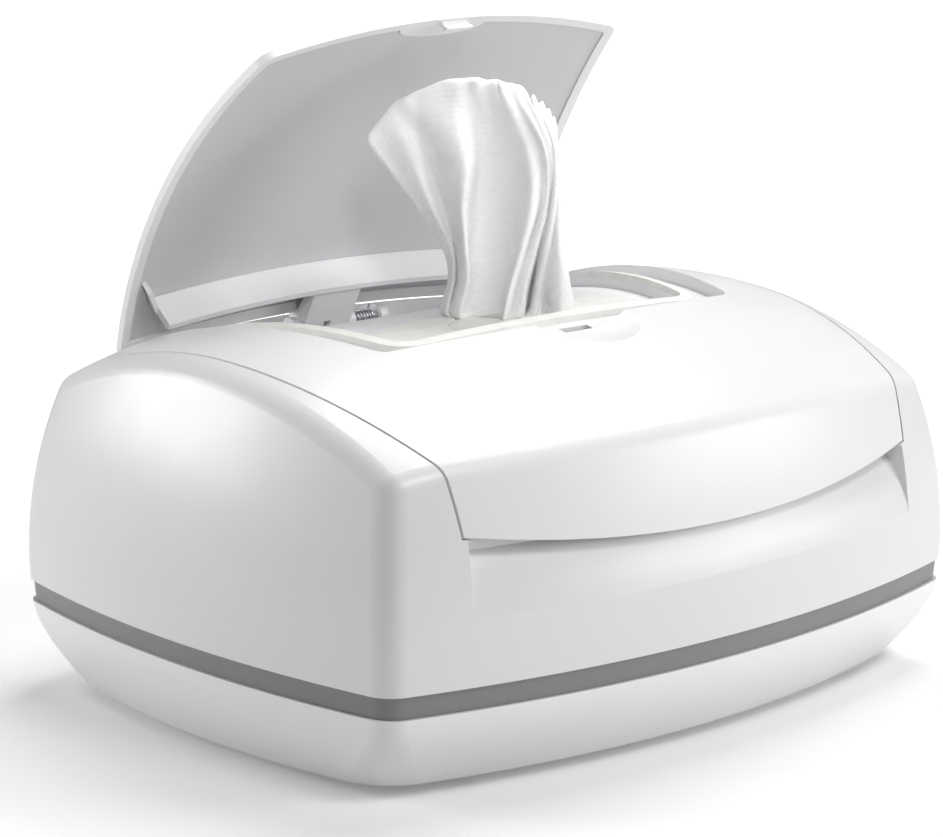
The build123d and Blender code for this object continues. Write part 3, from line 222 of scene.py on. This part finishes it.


def stage_floor():
    """A pale floor that reads as white where nothing shades it, helped by a painted glow that only the
    camera sees: faint under the object and full white from 0.36 m out.
    """
    mesh = bpy.data.meshes.new("floor")
    shape = bmesh.new()
    bmesh.ops.create_grid(shape, x_segments=1, y_segments=1, size=6)
    shape.to_mesh(mesh)
    shape.free()
    floor = bpy.data.objects.new("floor", mesh)
    bpy.context.scene.collection.objects.link(floor)
    material, tree, shader, place = new_material("floor_white_painted_glow")
    shader.inputs["Base Color"].default_value = (0.85, 0.85, 0.85, 1)
    shader.inputs["Roughness"].default_value = 0.8
    shader.inputs["Specular IOR Level"].default_value = 0.1
    reach = tree.nodes.new("ShaderNodeVectorMath")
    reach.operation = "LENGTH"
    tree.links.new(place, reach.inputs[0])
    # painted glow: grows with distance from the origin, from the faint value under the object to full
    # white
    spread = tree.nodes.new("ShaderNodeMapRange")
    spread.interpolation_type = "SMOOTHSTEP"
    spread.inputs["From Min"].default_value = 0.19
    spread.inputs["From Max"].default_value = 0.36
    spread.inputs["To Min"].default_value = floor_painted_glow
    spread.inputs["To Max"].default_value = 1.0
    tree.links.new(reach.outputs["Value"], spread.inputs["Value"])
    path = tree.nodes.new("ShaderNodeLightPath")
    seen = tree.nodes.new("ShaderNodeMath")
    seen.operation = "MULTIPLY"
    tree.links.new(path.outputs["Is Camera Ray"], seen.inputs[0])
    tree.links.new(spread.outputs["Result"], seen.inputs[1])
    glow = tree.nodes.new("ShaderNodeEmission")
    tree.links.new(seen.outputs[0], glow.inputs["Strength"])
    both = tree.nodes.new("ShaderNodeAddShader")
    tree.links.new(shader.outputs[0], both.inputs[0])
    tree.links.new(glow.outputs[0], both.inputs[1])
    tree.links.new(both.outputs[0], tree.nodes["Material Output"].inputs["Surface"])
    mesh.materials.append(material)


def softbox(name, place, target, size, power):
    """A square area lamp that faces a target."""
    data = bpy.data.lights.new(name, "AREA")
    data.shape = "RECTANGLE"
    data.size, data.size_y = size
    data.energy = power
    lamp = bpy.data.objects.new(name, data)
    lamp.location = place
    aim = Vector(target) - Vector(place)
    lamp.rotation_euler = aim.to_track_quat("-Z", "Y").to_euler()
    bpy.context.scene.collection.objects.link(lamp)


def wipe_spot(place, target, power):
    """A soft spot lamp on the wipe and the open lid behind it."""
    data = bpy.data.lights.new("wipe_spot", "SPOT")
    data.energy = power
    data.spot_size = math.radians(15)
    data.spot_blend = 0.9
    data.shadow_soft_size = 0.08
    lamp = bpy.data.objects.new("wipe_spot", data)
    lamp.location = place
    aim = Vector(target) - Vector(place)
    lamp.rotation_euler = aim.to_track_quat("-Z", "Y").to_euler()
    bpy.context.scene.collection.objects.link(lamp)


def surroundings(strength):
    """Even pale light from all round, shown as white behind the object."""
    world = bpy.data.worlds.new("studio")
    bpy.context.scene.world = world
    world.use_nodes = True
    tree = world.node_tree
    back = tree.nodes["Background"]
    back.inputs["Color"].default_value = (1, 1, 1, 1)
    path = tree.nodes.new("ShaderNodeLightPath")
    mix = tree.nodes.new("ShaderNodeMix")
    mix.inputs["A"].default_value = strength
    mix.inputs["B"].default_value = 1.0
    tree.links.new(path.outputs["Is Camera Ray"], mix.inputs["Factor"])
    tree.links.new(mix.outputs["Result"], back.inputs["Strength"])


stage_floor()
surroundings(0.15)
softbox("top_box", (0.34, 0.16, 0.94), (0, 0, 0.1), (0.6, 0.5), 7)
softbox("front_right_box", (1.0, -1.05, 0.42), (0.08, -0.1, 0.05), (0.7, 0.6), 8.5)
softbox("left_box", (-0.9, 1.1, 0.42), (-0.12, 0.08, 0.06), (0.6, 0.5), 10)
softbox("high_front_box", (0.0, -0.9, 1.1), (0.0, 0.05, 0.14), (0.4, 0.3), 5)
wipe_spot((-0.5, -0.7, 0.62), (-0.02, 0.04, 0.18), 13)

bpy.context.scene.view_settings.view_transform = "Standard"

# ---------------------------------------------------------------------------
# Sheets: built from ribs, each a list of (side, depth, rise) in millimetres
# ---------------------------------------------------------------------------
view_side = Vector((math.cos(camera_turn), -math.sin(camera_turn), 0))
view_depth = Vector((math.sin(camera_turn), math.cos(camera_turn), 0))
slot_middle = Vector((0, -9.5, 115.8)) * MM


def placed(side, depth, rise):
    """A point beside the dispensing slot: across the view, away from it, and up."""
    return slot_middle + (view_side * side + view_depth * depth + Vector((0, 0, rise))) * MM


def between(points, count):
    """A smooth run of count points through the given ones, evenly spread by index."""
    spans = len(points) - 1
    run = []
    for step in range(count):
        at = step * spans / (count - 1)
        index = min(int(at), spans - 1)
        t = at - index
        p1, p2 = points[index], points[index + 1]
        p0 = points[index - 1] if index else p1 * 2 - p2
        p3 = points[index + 2] if index + 2 <= spans else p2 * 2 - p1
        run.append(0.5 * (p1 * 2 + (p2 - p0) * t + (p0 * 2 - p1 * 5 + p2 * 4 - p3) * t ** 2
                          + (p1 * 3 - p0 - p2 * 3 + p3) * t ** 3))
    return run


def grid_object(name, rows, material):
    """A mesh through rows of points, all equally long, with the rows' measures as UV."""
    shape = bmesh.new()
    made = [[shape.verts.new(point) for point in row] for row in rows]
    measure = shape.loops.layers.uv.new("measure")
    height = len(rows[0])
    along = [0.0]
    middle = rows[len(rows) // 2]
    for index in range(1, height):
        along.append(along[-1] + (middle[index] - middle[index - 1]).length)
    across = [0.0]
    level = height // 4
    for index in range(1, len(rows)):
        across.append(across[-1] + (rows[index][level] - rows[index - 1][level]).length)
    for i in range(len(rows) - 1):
        for j in range(height - 1):
            corners = [(i, j), (i + 1, j), (i + 1, j + 1), (i, j + 1)]
            face = shape.faces.new([made[a][b] for a, b in corners])
            face.smooth = True
            for loop, (a, b) in zip(face.loops, corners):
                loop[measure].uv = (across[a], along[b])
    mesh = bpy.data.meshes.new(name)
    shape.to_mesh(mesh)
    shape.free()
    mesh.materials.append(material)
    made_object = bpy.data.objects.new(name, mesh)
    bpy.context.scene.collection.objects.link(made_object)
    return made_object


def thicken(piece, thickness, offset=0.0):
    """Gives a sheet its thickness."""
    solid = piece.modifiers.new("thickness", "SOLIDIFY")
    solid.thickness = thickness
    solid.offset = offset


# ---------------------------------------------------------------------------
# The wipe: pulled up out of the slot, folded over at the top, a corner hanging
# ---------------------------------------------------------------------------
wipe_ribs = [
    # (side, depth) at the slot's rim and at wipe_rises above it, then (side, depth, rise) at the crest
    ((-22.0, 8), (-19.5, 8), (-22, 8), (-31, 6), (-43, 5), (-44, 6, 59.5)),
    ((-20.0, 4), (-18.0, 4), (-19, 4), (-25, 2), (-32, 1), (-37.5, 8, 68.0)),
    ((-18.8, 5), (-17.0, 6), (-17.6, 6), (-21.5, 6), (-27.5, 5), (-32.8, 8, 71.0)),
    ((-17.5, 2), (-15.5, 1), (-15.7, 0), (-18, 0), (-23, -1), (-28, 8, 73.2)),
    ((-15.6, 1), (-13.2, -1), (-13.8, -3), (-14.5, -4), (-14.3, -5), (-20, 8, 76.2)),
    ((-14.7, 6), (-12.5, 5), (-12.2, 6), (-11.5, 7), (-9.8, 6), (-14, 8, 76.6)),
    ((-8.4, 5), (-7.2, 7), (-6.5, 9), (-6.4, 10), (-4.9, 9), (-9.6, 8, 76.7)),
    ((-3.4, 3), (-1.2, 4), (-0.2, 5), (-0.2, 5), (0.6, 4), (-4.6, 8, 76.3)),
    ((-2.1, 0), (0.4, -1), (3.0, -2), (5.8, -3), (4.4, -1), (-3.0, 7, 76.0)),
    ((-0.2, 6), (2.9, 6), (5.5, 5), (9.2, 3), (8.6, 0), (0.6, 8, 75.0)),
    ((2.6, 4), (5.4, 4), (8.0, 3), (11.2, 1), (10.9, -1), (4.3, 8, 73.3)),
    ((5.2, 14), (7.4, 12), (9.3, 8), (12.1, 4), (12.5, 2), (7.1, 8, 71.6)),
    ((7.4, 6), (9.3, 6), (11.2, 4), (13.4, 2), (13.8, 2), (9.9, 9, 69.3)),
    ((11.5, 12), (12.1, 9), (13.4, 6), (14.4, 4), (14.4, 4), (12.1, 10, 66.8)),
    ((15.0, 5), (15.0, 5), (15.2, 4), (15.0, 4), (15.0, 5), (13.7, 11, 64.0)),
    ((19.6, 8), (18.5, 8), (16.9, 8), (15.7, 8), (15.4, 9), (14.7, 12, 60.9)),
]
wipe_rises = (1.9, 14.0, 24.0, 38.0, 55.0)
slit_depth = 5.0


def wipe_curve(rib):
    """One rib from under the slot up the front, over the crest and down the back."""
    crest_side, crest_depth, crest_rise = rib[5]
    front = [(side, depth, rise) for (side, depth), rise in zip(rib, wipe_rises) if rise < crest_rise - 9]
    back = []
    for side, depth, rise in front:
        lean = 0.86 + 0.1 * rise / crest_rise
        back.append((side * lean - 0.6, 19 - 0.75 * depth + 3.5 * math.sin(0.9 * side), rise))
    foot = rib[0][0]
    neck = [(foot * 0.55, slit_depth - 0.5, 0.2), (foot * 0.5, slit_depth - 0.5, -9)]
    neck_back = [(foot * 0.55, slit_depth + 0.5, 0.2), (foot * 0.5, slit_depth + 0.5, -9)]
    crest = [
        (crest_side, crest_depth - 3.2, crest_rise - 3.4),
        (crest_side, crest_depth, crest_rise),
        (crest_side, crest_depth + 3.6, crest_rise - 3.6),
    ]
    run = neck[::-1] + front + crest + back[::-1] + neck_back
    return [placed(*point) for point in run]


def resampled(points, count):
    """The same smooth run with its points spread evenly along its length."""
    fine = between(points, 400)
    total = [0.0]
    for index in range(1, len(fine)):
        total.append(total[-1] + (fine[index] - fine[index - 1]).length)
    run, at = [], 0
    for step in range(count):
        goal = total[-1] * step / (count - 1)
        while at < len(fine) - 2 and total[at + 1] < goal:
            at += 1
        span = total[at + 1] - total[at]
        run.append(fine[at].lerp(fine[at + 1], (goal - total[at]) / span if span else 0))
    return run


def wipe_sheet():
    """The wipe's sheet in its folds."""
    curves = [resampled(wipe_curve(rib), 120) for rib in wipe_ribs]
    columns = 113
    rows = [[] for _ in range(columns)]
    for level in range(120):
        for row, point in zip(rows, between([curve[level] for curve in curves], columns)):
            row.append(point)
    for i, row in enumerate(rows):
        for j, point in enumerate(row):
            crease = math.sin(0.55 * i + 0.21 * j) * math.sin(0.13 * i - 0.17 * j)
            lift = min(1, max(0, (point.z - slot_middle.z - 3 * MM) / (20 * MM)))
            row[j] = point + view_depth * (0.45 * MM * crease * lift)
    return grid_object("wipe_sheet", rows, wipe_cloth)


def cloth(name):
    """Damp non-woven cloth: fine embossed ribs, soft light through it."""
    material, tree, shader, place = new_material(name)
    uv = tree.nodes.new("ShaderNodeUVMap")
    uv.uv_map = "measure"
    mottle = noise(tree, place, 260, 4)
    tree.links.new(ramp(tree, mottle, [(0.3, 0.93), (0.7, 0.98)]), shader.inputs["Base Color"])
    shader.inputs["Roughness"].default_value = 0.75
    shader.inputs["Specular IOR Level"].default_value = 0.25
    shader.inputs["Subsurface Weight"].default_value = 0.25
    shader.inputs["Subsurface Radius"].default_value = (0.004, 0.004, 0.004)
    shader.inputs["Subsurface Scale"].default_value = 0.5
    ribs = tree.nodes.new("ShaderNodeTexWave")
    ribs.bands_direction = "Y"
    ribs.inputs["Scale"].default_value = 170
    ribs.inputs["Distortion"].default_value = 1.6
    ribs.inputs["Detail"].default_value = 2
    ribs.inputs["Detail Scale"].default_value = 1.5
    tree.links.new(uv.outputs["UV"], ribs.inputs["Vector"])
    fibre = noise(tree, place, 1400, 3)
    soft = bump(tree, mottle, 0.35, 0.0012)
    ribbed = bump(tree, ribs.outputs["Fac"], 0.28, 0.00035, soft)
    tree.links.new(bump(tree, fibre, 0.25, 0.0001, ribbed), shader.inputs["Normal"])
    return material


wipe_cloth = cloth("wipe_cloth")
wipe = wipe_sheet()
thicken(wipe, 0.45 * MM)
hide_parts("wipe")
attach(wipe, "main_lid")
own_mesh(wipe)

# ---------------------------------------------------------------------------
# Soft slit in the dispensing slot, closed round the wipe
# ---------------------------------------------------------------------------


def slit_skin():
    """A thin dished skin from the slot's rim to the slit round the wipe."""
    plate_axis = Vector((0, 3.2, -63.5)) * MM
    plate_top = 180.17 * MM
    rows = []
    for step in range(65):
        angle = 2 * math.pi * step / 64
        outer = Vector((22.95 * math.cos(angle), -9.5 + 14.95 * math.sin(angle), 0)) * MM
        turned = angle + camera_turn
        inner = placed(11.6 * math.cos(turned), slit_depth + 1.1 * math.sin(turned), 0)
        row = []
        for part in range(9):
            t = part / 8
            spot = outer.lerp(Vector((inner.x, inner.y, 0)), t)
            rise = math.sqrt(plate_top ** 2 - (spot.y - plate_axis.y) ** 2) + plate_axis.z
            row.append(Vector((spot.x, spot.y, rise + 1.2 * MM * t * (1 - 0.55 * t) - 0.1 * MM)))
        rows.append(row)
    return grid_object("slit_skin", rows, cream)


skin = slit_skin()
thicken(skin, 0.5 * MM)
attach(skin, "main_lid")

# ---------------------------------------------------------------------------
# Damp felt pad on the tub's floor
# ---------------------------------------------------------------------------
felt_low, felt_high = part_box("moisture_pad")


def felt_pad():
    """A thin pad with rounded corners and softly crowned faces."""
    middle = (Vector(felt_low) + Vector(felt_high)) / 2
    half = (Vector(felt_high) - Vector(felt_low)) / 2
    shape = bmesh.new()
    bmesh.ops.create_grid(shape, x_segments=80, y_segments=52, size=1)
    for vert in shape.verts:
        u, v = vert.co.x, vert.co.y
        corner = 0.055 * (u * v) ** 4
        rise = 1 - 0.35 * (u ** 12 + v ** 12) + 0.05 * math.sin(23 * u) * math.sin(17 * v)
        vert.co = (u * half.x * (1 - corner), v * half.y * (1 - corner), half.z * min(1, rise))
    made = bmesh.ops.extrude_face_region(shape, geom=list(shape.faces))
    for item in made["geom"]:
        if isinstance(item, bmesh.types.BMVert):
            item.co.z = -half.z * 0.98
    bmesh.ops.translate(shape, verts=shape.verts, vec=middle)
    bmesh.ops.recalc_face_normals(shape, faces=shape.faces)
    for face in shape.faces:
        face.smooth = True
    mesh = bpy.data.meshes.new("felt_pad")
    shape.to_mesh(mesh)
    shape.free()
    mesh.materials.append(felt)
    piece = bpy.data.objects.new("felt_pad", mesh)
    bpy.context.scene.collection.objects.link(piece)
    return piece


pad = felt_pad()
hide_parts("moisture_pad")
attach(pad, "base")
